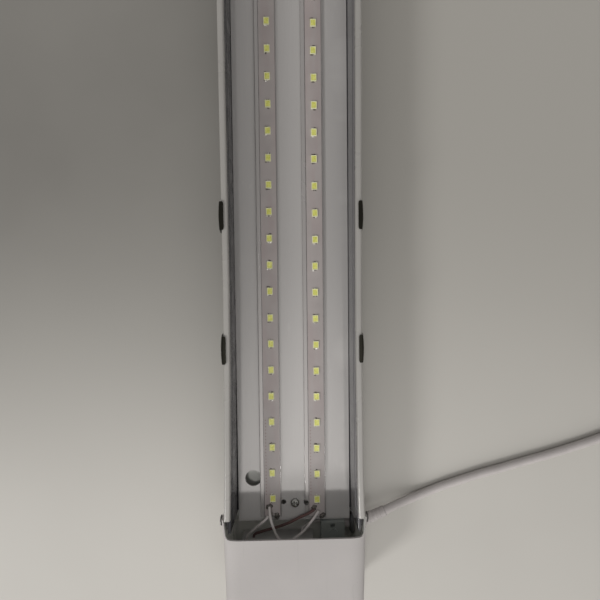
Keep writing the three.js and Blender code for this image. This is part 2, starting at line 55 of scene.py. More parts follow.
camera_data = bpy.data.cameras.new("camera")
camera_data.lens = 27.0
camera_data.sensor_width = 36.0
camera_data.clip_start = 0.01
camera_data.clip_end = 50.0
camera = bpy.data.objects.new("camera", camera_data)
scene.collection.objects.link(camera)
camera_back = -CAMERA_LOOKS.normalized()
camera_right = CAMERA_UP.cross(camera_back).normalized()
camera_axes = Matrix((camera_right, camera_back.cross(camera_right), camera_back)).transposed()
camera.matrix_world = Matrix.Translation(CAMERA_AT) @ camera_axes.to_4x4()
scene.camera = camera

# ---- Sizes shared with the CAD, in millimetres -----------------------------------------------
RIM_TOP = 42.0
WALL_OUTER = 39.2
TROUGH_HALF = 290.7
RAIL_HALF = 300.0                      # the rails run on into the end boxes
TRAY_TOP = 11.0
TRAY_HALF_WIDTH = 36.05
TRAY_HALF = 307.0
ROWS = {"left": (-13.75, 0.0), "right": (14.95, -0.95)}     # each LED row's X, and its shift in Y
LED_COUNT = 36
LED_PITCH = 50 / 3
BAR_HALF = 304.0
STRIP_HALF = 303.0
STRIP_TOP = 12.6
LED_TOP = 13.4
BOX_HALF_WIDTH = 40.2
BOX_MOUTH = -291.0
BOX_LIP = -302.3
BOX_END = -356.0
BOX_WALL = 1.4
BOX_RADIUS = 4.3
LIP_HALF = 39.0                        # the cut-back in the top panel: half width and corner radius
LIP_RADIUS = 2.5
SCREW_HOLE = 1.8
GLAND_HOLE = 5.1
WALL_SWAY = 0.35                       # both walls' shift to +X at rim height, between the end boxes
SIDE_SCREW = Vector((43.1, -293.6, 34.0))
TRAY_SCREW = Vector((0.5, -295.4, TRAY_TOP + 0.3))
CLIP_FOOT = Vector((40.7, 0.0, 12.9))
CLIP_YS = (-191.0, -115.0, 115.0, 191.0)
# How far the walls lean out at rim height, by distance from the middle of the light.
TROUGH_LEAN = (
    (0, 0.45), (45, 0.3), (95, 0.05), (155, -0.25), (205, -0.05), (228, 0.35), (262, 0.7), (279.7, 0.95),
    (290.7, 1.4),
)
BOX_LEAN = ((291, 3.0), (296, 2.3), (302, 1.7), (313, 1.35), (332, 0.8), (356, 0.2))


# ---- Materials -------------------------------------------------------------------------------
class Nodes:
    """A material's node tree, with short calls for the nodes used here."""

    def __init__(self, name):
        self.material = bpy.data.materials.new(name)
        self.material.use_nodes = True
        self.tree = self.material.node_tree
        self.shader = self.tree.nodes["Principled BSDF"]
        self.place = self.new("ShaderNodeTexCoord").outputs["Object"]

    def new(self, kind, **values):
        node = self.tree.nodes.new(kind)
        for key, value in values.items():
            setattr(node, key, value)
        return node

    def feed(self, socket, value):
        if isinstance(value, bpy.types.NodeSocket):
            self.tree.links.new(value, socket)
        elif isinstance(value, (tuple, list)) and len(value) == 3 and socket.type == "RGBA":
            socket.default_value = (*value, 1.0)
        else:
            socket.default_value = value

    def noise(self, scale, detail=3.0, stretch=(1, 1, 1), roughness=0.5):
        mapping = self.new("ShaderNodeMapping")
        self.feed(mapping.inputs["Scale"], stretch)
        self.feed(mapping.inputs["Vector"], self.place)
        node = self.new("ShaderNodeTexNoise")
        for key, value in (("Scale", scale), ("Detail", detail), ("Roughness", roughness),
                           ("Vector", mapping.outputs["Vector"])):
            self.feed(node.inputs[key], value)
        return node.outputs["Fac"]

    def ranged(self, source, low, high, start=0.3, stop=0.7):
        node = self.new("ShaderNodeMapRange")
        for key, value in (("Value", source), ("From Min", start), ("From Max", stop),
                           ("To Min", low), ("To Max", high)):
            self.feed(node.inputs[key], value)
        return node.outputs["Result"]

    def mixed(self, factor, first, second):
        node = self.new("ShaderNodeMix", data_type="RGBA")
        colours = [socket for socket in node.inputs if socket.type == "RGBA"]
        self.feed(node.inputs["Factor"], factor)
        self.feed(colours[0], first)
        self.feed(colours[1], second)
        return next(socket for socket in node.outputs if socket.type == "RGBA")

    def bumped(self, height, strength, distance=0.0002):
        node = self.new("ShaderNodeBump")
        for key, value in (("Strength", strength), ("Distance", distance), ("Height", height)):
            self.feed(node.inputs[key], value)
        self.feed(self.shader.inputs["Normal"], node.outputs["Normal"])

    def finish(self, **values):
        for key, value in values.items():
            self.feed(self.shader.inputs[key.replace("_", " ")], value)
        return self.material


def tinted(colour, share):
    return tuple(channel * share for channel in colour)


def painted_shell(name, colour, rough=0.3, coat=0.3, shine=0.5):
    """Glossy white paint: faint clouding, orange peel, thin scuffs along the length and dust."""
    n = Nodes(name)
    base = n.mixed(n.ranged(n.noise(28, 4), 0, 1), tinted(colour, 0.965), tinted(colour, 1.03))
    scuffs = n.ranged(n.noise(260, 5, (1, 0.06, 1), 0.7), 0, 0.4, 0.6, 0.72)
    base = n.mixed(scuffs, base, tinted(colour, 0.8))
    dust = n.ranged(n.noise(1500, 2), 0, 0.45, 0.68, 0.78)
    base = n.mixed(dust, base, tinted(colour, 0.55))
    n.bumped(n.noise(900, 2), 0.05)
    return n.finish(Base_Color=base, Roughness=n.ranged(n.noise(60, 3), rough - 0.05, rough + 0.1),
                    Specular_IOR_Level=shine, Coat_Weight=coat, Coat_Roughness=0.15)


def satin_plastic(name, colour, rough=0.45, grain=2200, streak=1.0, bump=0.25, shine=0.5):
    """Textured plastic: moulding grain, mottling that follows the length by streak, worn spots."""
    n = Nodes(name)
    mottle = n.ranged(n.noise(45, 4, (1, streak, 1)), 0, 1)
    base = n.mixed(mottle, tinted(colour, 0.88), tinted(colour, 1.12))
    base = n.mixed(n.ranged(n.noise(380, 3), 0, 0.4, 0.66, 0.8), base, tinted(colour, 1.5))
    n.bumped(n.noise(grain, 2), bump)
    return n.finish(Base_Color=base, Specular_IOR_Level=shine,
                    Roughness=n.ranged(n.noise(120, 3), rough - 0.07, rough + 0.1))


def rolled_sheet(name, colour, rough, metallic, cloud=0.05, coat=0.0, streak=(40, 1, 1), edge=False):
    """Rolled sheet: fine lines along the length, a clouded sheen, smudges and dust.

    With edge, a painted reflection: a paler band wavers along its right edge.
    """
    n = Nodes(name)
    lines = n.noise(60, 4, streak, 0.65)
    base = n.mixed(n.ranged(lines, 0, 1), tinted(colour, 0.97), tinted(colour, 1.03))
    clouds = n.ranged(n.noise(16, 5, (1, 0.35, 1), 0.6), 0, 1, 0.35, 0.7)
    base = n.mixed(clouds, base, tinted(colour, 1 - cloud))
    smear = n.ranged(n.noise(120, 6, (1, 0.3, 1), 0.75), 0, 0.5, 0.62, 0.76)
    base = n.mixed(smear, base, tinted(colour, 1.18))
    base = n.mixed(n.ranged(n.noise(1700, 2), 0, 0.6, 0.7, 0.8), base, tinted(colour, 0.5))
    # painted reflection: a paler band along the sheet's right edge
    if edge:
        split = n.new("ShaderNodeSeparateXYZ")
        n.feed(split.inputs[0], n.place)
        reach = n.ranged(n.noise(17, 4, (0, 1, 0), 0.6), 0.037, 0.027, 0.48, 0.66)
        past = n.new("ShaderNodeMath", operation="SUBTRACT")
        n.feed(past.inputs[0], split.outputs["X"])
        n.feed(past.inputs[1], reach)
        base = n.mixed(n.ranged(past.outputs[0], 0, 0.45, -0.005, 0.006), base, tinted(colour, 1.3))
    n.bumped(lines, 0.04, 0.0001)
    return n.finish(Base_Color=base, Metallic=metallic, Coat_Weight=coat, Coat_Roughness=0.06,
                    Roughness=n.ranged(n.noise(35, 4), rough * 0.75, rough * 1.4))


def polished_steel(name, colour, rough):
    n = Nodes(name)
    hairs = n.noise(500, 3, (1, 12, 1))
    base = n.mixed(n.ranged(n.noise(90, 3), 0, 1), tinted(colour, 0.8), colour)
    n.bumped(hairs, 0.03, 0.0001)
    return n.finish(Base_Color=base, Metallic=1.0, Roughness=n.ranged(hairs, rough * 0.7, rough * 1.6))


def circuit_film(name, colour):
    """White solder mask, pinkish and clouded, with copper showing through in bands."""
    n = Nodes(name)
    base = n.mixed(n.ranged(n.noise(70, 4), 0, 1), tinted(colour, 0.92), tinted(colour, 1.06))
    copper = n.ranged(n.noise(55, 2, (3.2, 0.5, 1)), 0, 0.4, 0.45, 0.62)
    base = n.mixed(copper, base, (colour[0] * 0.94, colour[1] * 0.84, colour[2] * 0.85))
    n.bumped(n.noise(1400, 2), 0.1, 0.0001)
    return n.finish(Base_Color=base, Roughness=0.3, Coat_Weight=0.2, Coat_Roughness=0.15)


def phosphor(name):
    """LED window: yellow phosphor in clear gel, deeper in patches."""
    n = Nodes(name)
    base = n.mixed(n.ranged(n.noise(700, 3), 0, 1), (0.60, 0.61, 0.11), (0.82, 0.82, 0.26))
    n.bumped(n.noise(2500, 2), 0.15, 0.0001)
    return n.finish(Base_Color=base, Roughness=0.25, Coat_Weight=0.6, Coat_Roughness=0.1)


def solder(name):
    n = Nodes(name)
    base = n.mixed(n.ranged(n.noise(1500, 3), 0, 1), (0.05, 0.04, 0.035), (0.34, 0.32, 0.30))
    n.bumped(n.noise(1800, 3), 0.4)
    return n.finish(Base_Color=base, Metallic=0.8, Roughness=n.ranged(n.noise(2500, 2), 0.2, 0.5))


def soft_pvc(name, colour, rough=0.42):
    """Cable sheath: soft mottling, fine drawing lines and handling dirt."""
    n = Nodes(name)
    base = n.mixed(n.ranged(n.noise(120, 4), 0, 1), tinted(colour, 0.93), tinted(colour, 1.04))
    base = n.mixed(n.ranged(n.noise(420, 4, roughness=0.7), 0, 0.35, 0.6, 0.75), base, tinted(colour, 0.66))
    n.bumped(n.noise(2600, 2), 0.12)
    return n.finish(Base_Color=base, Roughness=n.ranged(n.noise(200, 2), rough - 0.06, rough + 0.1))


def woven_strap(name, colour):
    n = Nodes(name)
    weave = n.new("ShaderNodeTexChecker")
    n.feed(weave.inputs["Scale"], 1400.0)
    n.feed(weave.inputs["Vector"], n.place)
    base = n.mixed(weave.outputs["Fac"], tinted(colour, 0.6), tinted(colour, 1.6))
    n.bumped(weave.outputs["Fac"], 0.4)
    return n.finish(Base_Color=base, Roughness=0.8, Sheen_Weight=0.3)


SHELL = painted_shell("white_shell", (0.345, 0.335, 0.32))
# Much paler copy of the white shell for faces inside the trough and the end boxes: painted light where they
# lie in shade.
PAINTED_LIGHT_WHITE = painted_shell("painted_light_white", (0.82, 0.82, 0.78), 0.3)
BOX_SHELL = painted_shell("box_shell", (0.46, 0.44, 0.435), 0.55, 0.0, 0.15)
WALL_GREY = satin_plastic("wall_grey", (0.08, 0.08, 0.087), 0.1, streak=0.15, bump=0.02, shine=0.34)
# Darker, matter copy of the wall grey for the left rail: painted shade on the wall that faces away from the
# light.
WALL_MATT_PAINTED_SHADE = satin_plastic("wall_matt_painted_shade", (0.036, 0.036, 0.04), 0.22, streak=0.15, bump=0.05, shine=0.1)
# The tray carries the painted reflection along its right edge.
TRAY = rolled_sheet("tray_sheet", (0.52, 0.505, 0.50), 0.09, 0.27, 0.04, edge=True)
BAR = rolled_sheet("bar_metal", (0.50, 0.48, 0.475), 0.2, 0.5, 0.06)
FILM = circuit_film("strip_film", (0.40, 0.365, 0.36))
PAD = satin_plastic("via_copper", (0.26, 0.17, 0.16), 0.5)
LED_FRAME = satin_plastic("led_frame", (0.78, 0.78, 0.52), 0.35)
LED_WINDOW = phosphor("led_window")
SOLDER = solder("solder")
TINNED = polished_steel("tinned", (0.85, 0.84, 0.80), 0.25)
# Near-black base for the polished clips: painted dark reflection of the room overhead.
CLIP_STEEL = polished_steel("clip_steel", (0.045, 0.043, 0.035), 0.16)
SCREW_STEEL = polished_steel("screw_steel", (0.50, 0.50, 0.48), 0.22)
# Duller, darker copy of the screw steel for the side screws: painted shade on heads that sit in shadow.
DULL_STEEL_PAINTED_SHADE = polished_steel("dull_steel_painted_shade", (0.24, 0.24, 0.235), 0.35)
BRACKET = rolled_sheet("bracket_steel", (0.055, 0.055, 0.058), 0.6, 0.1)
CASE = satin_plastic("case_plastic", (0.55, 0.54, 0.53), 0.5)
BLOCK = satin_plastic("block_plastic", (0.32, 0.345, 0.335), 0.4)
NUT = satin_plastic("gland_nut", (0.10, 0.10, 0.105), 0.45)
BOARD = satin_plastic("circuit_board", (0.05, 0.15, 0.07), 0.4)
CORD = soft_pvc("cord_sheath", (0.49, 0.46, 0.455))
PLUG = soft_pvc("plug_plastic", (0.49, 0.46, 0.455), 0.4)
WIRE_GREY = soft_pvc("grey_wire", (0.66, 0.62, 0.61), 0.5)
WIRE_RED = soft_pvc("red_wire", (0.13, 0.07, 0.066), 0.5)
STRAP = woven_strap("tie_strap", (0.03, 0.03, 0.032))


# ---- Mesh helpers ----------------------------------------------------------------------------
def fillet(corners, segments=4):
    """A closed outline from corners (a, b, radius), each rounded to its radius."""
    outline = []
    for k, (a, b, radius) in enumerate(corners):
        here = Vector((a, b))
        before = (Vector(corners[k - 1][:2]) - here).normalized()
        after = (Vector(corners[(k + 1) % len(corners)][:2]) - here).normalized()
        angle = before.angle(after)
        if radius <= 0 or angle > math.radians(176):
            outline.append(here)
            continue
        reach = radius / math.tan(angle / 2)
        centre = here + (before + after).normalized() * radius / math.sin(angle / 2)
        start = here + before * reach - centre
        end = here + after * reach - centre
        sign = 1 if start.x * end.y - start.y * end.x > 0 else -1
        for j in range(segments + 1):
            turn = Matrix.Rotation(sign * (math.pi - angle) * j / segments, 2)
            outline.append(centre + turn @ start)
    return outline


def mirrored(corners):
    """The outline corners, then their mirror images, for a section symmetric about X = 0."""
    return [*corners, *[(-a, b, r) for a, b, r in reversed(corners) if a > 0]]


def table_at(table, far):
    for (at0, value0), (at1, value1) in zip(table, table[1:]):
        if far <= at1:
            break
    return value0 + (value1 - value0) * (far - at0) / (at1 - at0)


def leaning(table, blur, sway=0.0):
    """Moves a point out by its share of the table's lean, smoothed over a few millimetres of Y.

    Both walls also sway the same way between the end boxes.
    """
    def move(x, y, z):
        lean = sum(table_at(table, abs(y + step * blur / 3)) for step in range(-3, 4)) / 7
        swayed = sway * min(max((270 - abs(y)) / 120, 0), 1)
        return x * (1 + lean * z / RIM_TOP / WALL_OUTER) + swayed * z / RIM_TOP, y, z
    return move


def mesh_object(name, bm, materials, smooth=35):
    """An object in metres from a bmesh in millimetres, smooth but for its sharp edges."""
    bmesh.ops.recalc_face_normals(bm, faces=bm.faces)
    bmesh.ops.scale(bm, vec=(MM, MM, MM), verts=bm.verts)
    mesh = bpy.data.meshes.new(name)
    bm.to_mesh(mesh)
    bm.free()
    mesh.shade_smooth()
    mesh.set_sharp_from_angle(angle=math.radians(smooth))
    for material in materials:
        mesh.materials.append(material)
    made = bpy.data.objects.new(name, mesh)
    scene.collection.objects.link(made)
    flatten(made)
    return made


def flatten(made):
    """Keeps flat faces flat-looking beside their rounded edges."""
    even = made.modifiers.new("even", "WEIGHTED_NORMAL")
    even.keep_sharp = True


def piece_of(made, body=LIGHT, replaced=(), slot=None):
    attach(made, body)
    if replaced:
        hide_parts(*replaced)
    return made


def prism_y(bm, outline, stations, move=None, edge=0.0, material=0):
    """Draws an (x, z) outline along Y through stations; its two ends get an edge bevel."""
    rings = []
    for y in stations:
        points = [move(a, y, b) if move else (a, y, b) for a, b in outline]
        rings.append([bm.verts.new(point) for point in points])
    count = len(outline)
    faces = []
    for low, high in zip(rings, rings[1:]):
        for k in range(count):
            faces.append(bm.faces.new((low[k], low[(k + 1) % count], high[(k + 1) % count], high[k])))
    caps = [bm.faces.new(rings[0][::-1]), bm.faces.new(rings[-1])]
    for face in [*faces, *caps]:
        face.material_index = material
    if edge:
        rim = list({e for cap in caps for e in cap.edges})
        bmesh.ops.bevel(bm, geom=rim, offset=edge, segments=2, affect="EDGES", profile=0.5,
                        clamp_overlap=True)


def spaced(low, high, step):
    count = max(1, round((high - low) / step))
    return [low + (high - low) * k / count for k in range(count + 1)]


def lathe(bm, profile, sides, place=Matrix(), material=0, wobble=None):
    """A profile of (radius, height) turned about Z, then placed."""
    rings = []
    for radius, height in profile:
        ring = []
        for k in range(sides if radius > 1e-6 else 1):
            angle = 2 * math.pi * k / sides
            reach = radius * (wobble(angle) if wobble else 1)
            spot = Vector((reach * math.cos(angle), reach * math.sin(angle), height))
            ring.append(bm.verts.new(place @ spot))
        rings.append(ring)
    for low, high in zip(rings, rings[1:]):
        for k in range(sides):
            j = (k + 1) % sides
            corners = (low[k % len(low)], low[j % len(low)], high[j % len(high)], high[k % len(high)])
            corners = list(dict.fromkeys(corners))
            if len(corners) > 2:
                bm.faces.new(corners).material_index = material


def rod_tool(bm, radius, start, end, sides=48):
    axis = Vector(end) - Vector(start)
    place = Matrix.Translation(start) @ axis.to_track_quat("Z", "Y").to_matrix().to_4x4()
    lathe(bm, ((0, 0), (radius, 0), (radius, axis.length), (0, axis.length)), sides, place)


def carved(made, tools, operation="DIFFERENCE", smooth=35):
    """Applies exact booleans to an object; each tool is a bmesh builder."""
    cutters = []
    for build in tools:
        bm = bmesh.new()
        build(bm)
        cutters.append(mesh_object("tool", bm, []))
        step = made.modifiers.new("cut", "BOOLEAN")
        step.operation = operation
        step.object = cutters[-1]
        step.solver = "EXACT"
    mesh = bpy.data.meshes.new_from_object(made.evaluated_get(bpy.context.evaluated_depsgraph_get()))
    made.modifiers.clear()
    made.data = mesh
    for cutter in cutters:
        bpy.data.objects.remove(cutter)
    mesh.shade_smooth()
    mesh.set_sharp_from_angle(angle=math.radians(smooth))
    flatten(made)
    return made


def round_edges(made, width):
    rounding = made.modifiers.new("rounding", "BEVEL")
    rounding.width = width * MM
    rounding.segments = 3
    rounding.limit_method = "ANGLE"
    rounding.angle_limit = math.radians(40)
    rounding.harden_normals = True


def smooth_line(points, step, least=2):
    """Catmull-Rom through points, sampled about every step."""
    p = [Vector(q) for q in points]
    p = [p[0] * 2 - p[1], *p, p[-1] * 2 - p[-2]]
    line = []
    for k in range(1, len(p) - 2):
        count = max(least, round((p[k + 1] - p[k]).length / step))
        for j in range(count):
            t = j / count
            line.append(0.5 * (2 * p[k] + (p[k + 1] - p[k - 1]) * t
                               + (2 * p[k - 1] - 5 * p[k] + 4 * p[k + 1] - p[k + 2]) * t * t
                               + (3 * p[k] - p[k - 1] - 3 * p[k + 1] + p[k + 2]) * t ** 3))
    return [*line, p[-2]]


def cable(name, line, radius, material, **told):
    """A round cable along a line in millimetres: a curve with one open spline."""
    curve = bpy.data.curves.new(name, "CURVE")
    curve.dimensions = "3D"
    curve.bevel_depth = radius * MM
    curve.bevel_resolution = 5
    curve.use_fill_caps = True
    spline = curve.splines.new("POLY")
    spline.points.add(len(line) - 1)
    for point, place in zip(spline.points, line):
        point.co = (*(place * MM), 1.0)
    spline.use_smooth = True
    curve.materials.append(material)
    made = bpy.data.objects.new(name, curve)
    scene.collection.objects.link(made)
    return piece_of(made, **told)


# ---- Mains cord: run over the floor, coil and tail to the plug -------------------------------
CORD_RADIUS = 2.8
GLAND = Vector((40.2, -311.2, 8.4))
GLAND_TURN = math.radians(23)
GLAND_TAIL = 20.0
SHEATH_INSIDE = 1.5                    # how far the sheath runs on into the strain relief
FLOOR_Z = 2.85
CORD_ROUTE = (
    (63.5, -301.8, 8), (68, -300.2, 7.1), (73, -298.9, 5.8), (78, -297.7, 4.5), (83.8, -296, 3.4),
    (90, -294, FLOOR_Z), (98.1, -290.9, FLOOR_Z), (111.6, -286.8, FLOOR_Z), (125.2, -282.7, FLOOR_Z),
    (138.8, -279.3, FLOOR_Z), (153.7, -275.2, FLOOR_Z), (168, -271.6, FLOOR_Z), (184, -267, FLOOR_Z),
    (200, -262.1, FLOOR_Z), (217, -256.2, FLOOR_Z), (234, -249.8, FLOOR_Z), (249.4, -243.9, FLOOR_Z),
)
COIL_AT = Vector((258, -199, 0))
COIL_FLOOR = 3.7                       # the lowest turns lie on the tie's strap
COIL_LAYER = 5.65
TURN_OUTER = 39.2
TURN_INNER = 22.4
COIL_START = math.radians(-70)
LAYER_TURNS = 3
CLIMB_TURNS = 0.25
TURN_POINTS = 24
COIL_EXIT_ANGLE = math.radians(20)
TAIL = ((10, 9.35), (23, 9), (31, 8.2), (39, 7.3), (45.7, 7))   # distance from the coil, height


def coil_line():
    """Three turns inwards on the floor, a quarter turn up, three turns outwards on top."""
    total = 2 * LAYER_TURNS + CLIMB_TURNS
    line = []
    for k in range(round(total * TURN_POINTS) + 1):
        t = k / TURN_POINTS
        inward = min(t, LAYER_TURNS) / LAYER_TURNS
        climb = min(max(t - LAYER_TURNS, 0), CLIMB_TURNS) / CLIMB_TURNS
        outward = max(t - LAYER_TURNS - CLIMB_TURNS, 0) / LAYER_TURNS
        radius = TURN_OUTER + (TURN_INNER - TURN_OUTER) * (inward - outward)
        height = COIL_FLOOR + COIL_LAYER * (1 - math.cos(math.pi * climb)) / 2
        angle = COIL_START + 2 * math.pi * t
        line.append(COIL_AT + Vector((radius * math.cos(angle), radius * math.sin(angle), height)))
    return line


gland_out = Vector((math.cos(GLAND_TURN), math.sin(GLAND_TURN), 0))
cord_exit = GLAND + Vector((1, 0, 0)) + gland_out * (GLAND_TAIL + 0.3)
coil_out = Vector((-math.sin(COIL_EXIT_ANGLE), math.cos(COIL_EXIT_ANGLE), 0))
coil_end = COIL_AT + TURN_OUTER * Vector((math.cos(COIL_EXIT_ANGLE), math.sin(COIL_EXIT_ANGLE), 0))
tail_line = [coil_end + coil_out * far + Vector((0, 0, z)) for far, z in TAIL]
cord_start = cord_exit - gland_out * SHEATH_INSIDE
cord_line = smooth_line([cord_start, *CORD_ROUTE, *coil_line(), *tail_line], 8, 1)
cord_length = sum((b - a).length for a, b in zip(cord_line, cord_line[1:])) * MM
mains_cable = cable("mains_cable", cord_line, CORD_RADIUS, CORD, slot="cord_sheath",
                    replaced=("mains_cord", "cord_coil", "cord_to_plug"))


# ---- Trough, side rails and tray -------------------------------------------------------------
trough_lean = leaning(TROUGH_LEAN, 12, WALL_SWAY)
TROUGH_SECTION = mirrored([
    (0, 0, 0), (WALL_OUTER, 0, 4), (WALL_OUTER, 10.4, 0.2),                               # floor and wall
    (43, 10.4, 0.3), (43, 12.8, 0.35), (42.2, 12.8, 0.3), (42.2, 11.4, 0.3),              # hook rail
    (WALL_OUTER, 11.4, 0.3), (WALL_OUTER, 38.2, 0.4), (39.8, 38.2, 0.25),
    (39.8, RIM_TOP, 1.3), (36.1, RIM_TOP, 1.3), (36.1, 38.2, 1.0),                        # rim
    (38, 38.2, 0.3), (38, 1.2, 2.8), (0, 1.2, 0),                                         # inner faces
])
bm = bmesh.new()
prism_y(bm, fillet(TROUGH_SECTION, 5), spaced(-TROUGH_HALF, TROUGH_HALF, 5), trough_lean, 0.12)
for face in bm.faces:
    middle = face.calc_center_median()
    face.material_index = int(abs(middle.x) < 36 and 1 < middle.z < 1.6)     # the floor under the tray, in the much paler white: painted light
piece_of(mesh_object("trough_shell", bm, [SHELL, PAINTED_LIGHT_WHITE]), replaced=("trough",), slot="white_shell")

RAIL_SECTION = [
    (37.7, 4.5, 0.3), (37.7, 37.9, 0.3), (36.1, 37.9, 0.4),
    (36.1, 32.4, 0.25), (36.9, 32.4, 0.15), (36.9, 31.2, 0.15), (36.1, 31.2, 0.25),       # cover groove
    (36.1, 9.7, 0.2), (32.5, 9.7, 0.3), (32.5, 8.4, 0.3), (36.1, 8.4, 0.2),               # tray ledge
    (36.1, 4.5, 0.3),
]
for side, sign in (("left", -1), ("right", 1)):
    bm = bmesh.new()
    outline = [Vector((a * sign, b)) for a, b in fillet(RAIL_SECTION, 3)]
    prism_y(bm, outline, spaced(-RAIL_HALF, RAIL_HALF, 8), trough_lean, 0.15)
    # the left rail takes the darker copy of the grey: painted shade
    finish = WALL_MATT_PAINTED_SHADE if side == "left" else WALL_GREY
    rail = mesh_object(f"inner_rail_{side}", bm, [finish])
    piece_of(rail, replaced=(f"side_rail_{side}",), slot="grey_wall")

SPARE_HOLES = ((-6.8, -295, 1.65), (7.8, -295.2, 1.65))
TRAY_HOLES = ((-26.2, -278.9, 5.2), *SPARE_HOLES, (0.5, -295.4, 1.8))


def tray_tool(x, y, radius):
    return lambda bm: rod_tool(bm, radius, (x, y, 5), (x, y, 15))


bm = bmesh.new()
tray_section = fillet([
    (-TRAY_HALF_WIDTH, TRAY_TOP - 1, 0.3), (TRAY_HALF_WIDTH, TRAY_TOP - 1, 0.3),
    (TRAY_HALF_WIDTH, TRAY_TOP, 0.35), (-TRAY_HALF_WIDTH, TRAY_TOP, 0.35),
], 4)
prism_y(bm, tray_section, [-TRAY_HALF, TRAY_HALF], None, 0.2)
tray = mesh_object("tray_plate", bm, [TRAY])
carved(tray, [tray_tool(sign * x, sign * y, radius) for sign in (1, -1) for x, y, radius in TRAY_HOLES])
piece_of(tray, replaced=("reflector_tray",), slot="tray_metal")

# ---- LED rows --------------------------------------------------------------------------------
BAR_SECTION = [
    (-8, 11.3, 0.1), (5.55, 11.3, 0.1), (5.55, 12.7, 0.2), (5.1, 12.7, 0.2),              # bead
    (5.1, 11.9, 0.1), (-5.4, 11.9, 0.1), (-5.4, 12.6, 0.3), (-8, 12.6, 0.45),             # bed and ledge
]
VIA_COUNT = 24                         # small plated holes beside the LEDs nearest each end
VIA_START = -289.0
VIA_PITCH = 2.1
VIA_OUT = 4.05                         # their distance from the row's middle
VIA_PROFILE = ((0, 0.05), (0.2, 0.05), (0.34, 0.02), (0.36, -0.05), (0, -0.05))
# Places of the tape's materials on its mesh.
TAPE_FILM, TAPE_FRAME, TAPE_WINDOW, TAPE_SOLDER, TAPE_VIA, TAPE_TINNED = range(6)
LED_HALF = (1.85, 2.3)
SOLDERED = {"left": ((-16.1, -297.0), (-11.2, -303.3)), "right": ((12.7, -298.6), (18.2, -303.7))}


def led_mesh(bm, x, y, seed):
    """One LED: cream frame with a sunk yellow window, and rough solder at its two ends."""
    rand = random.Random(seed)
    x += rand.uniform(-0.15, 0.15)
    y += rand.uniform(-0.15, 0.15)
    turn = Matrix.Rotation(rand.uniform(-0.03, 0.03), 2)
    wide, long = LED_HALF

    def ring(half_x, half_y, z, round_off, shift=0.0):
        corners = [(sx * half_x, sy * half_y, round_off) for sx, sy in ((-1, -1), (1, -1), (1, 1), (-1, 1))]
        return [bm.verts.new((x + p.x, y + shift + p.y, z)) for p in [turn @ q for q in fillet(corners, 3)]]

    rings = [ring(wide, long, STRIP_TOP - 0.1, 0.25), ring(wide, long, LED_TOP - 0.12, 0.25),
             ring(wide - 0.1, long - 0.1, LED_TOP, 0.2), ring(1.5, 1.9, LED_TOP, 0.4),
             ring(1.4, 1.8, LED_TOP - 0.14, 0.35)]
    for low, high in zip(rings, rings[1:]):
        for k in range(len(low)):
            j = (k + 1) % len(low)
            bm.faces.new((low[k], low[j], high[j], high[k])).material_index = TAPE_FRAME
    bm.faces.new(rings[0][::-1]).material_index = TAPE_FRAME
    bm.faces.new(rings[-1]).material_index = TAPE_WINDOW
    for end, spots in ((-1, 4), (1, 2)):
        for _ in range(spots):
            size = rand.uniform(0.35, 0.75)
            at = (x + rand.uniform(-1.4, 0.8), y + end * (long + rand.uniform(0.1, 0.5)), STRIP_TOP)
            blob = [(0, 0), (size, 0.02), (size * 0.85, size * 0.4), (size * 0.4, size * 0.62),
                    (0, size * 0.68)]
            finish = TAPE_SOLDER if rand.random() < 0.65 else TAPE_TINNED
            lathe(bm, blob, 10, Matrix.Translation(at) @ Matrix.Diagonal((1.1, 0.8, 0.9, 1)), finish)


for side, (row_x, row_y) in ROWS.items():
    bm = bmesh.new()
    outline = [Vector((a + row_x, b)) for a, b in fillet(BAR_SECTION, 4)]
    prism_y(bm, outline, spaced(row_y - BAR_HALF, row_y + BAR_HALF, 40), None, 0.1)
    holes = [tray_tool(sign * x, sign * y, radius) for sign in (1, -1) for x, y, radius in SPARE_HOLES]
    bar = carved(mesh_object(f"bar_{side}", bm, [BAR]), holes)
    piece_of(bar, replaced=(f"backing_bar_{side}",), slot="bar_metal")

    bm = bmesh.new()
    board = fillet([(-5.1, 12.2, 0.08), (4.7, 12.2, 0.08), (4.7, 12.6, 0.1), (-5.1, 12.6, 0.1)], 2)
    board = [Vector((a + row_x, b)) for a, b in board]
    prism_y(bm, board, spaced(row_y - STRIP_HALF, row_y + STRIP_HALF, 40), None, 0.08)
    for k in range(LED_COUNT):
        y = row_y + (k - (LED_COUNT - 1) / 2) * LED_PITCH
        led_mesh(bm, row_x, y, 100 * (side == "right") + k)
    for k in range(VIA_COUNT):
        for end in (1, -1):
            at = (row_x - VIA_OUT * end, row_y + end * (VIA_START + k * VIA_PITCH), STRIP_TOP)
            lathe(bm, VIA_PROFILE, 10, Matrix.Translation(at), TAPE_VIA)
    for x, y in SOLDERED[side]:
        blob = [(0, -0.2), (2.0, -0.1), (1.9, 0.2), (1.4, 0.7), (0.6, 1.05), (0, 1.1)]
        start = random.Random(f"{side}{x}").uniform(0, 6)
        lathe(bm, blob, 24, Matrix.Translation((x, y, STRIP_TOP)), TAPE_SOLDER,
              lambda a, b=start: 1 + 0.2 * math.sin(2 * a + b) + 0.12 * math.sin(5 * a + 2 * b))
    piece_of(mesh_object(f"led_tape_{side}", bm, [FILM, LED_FRAME, LED_WINDOW, SOLDER, PAD, TINNED]),
             replaced=(f"led_strip_{side}",), slot="led_strip")


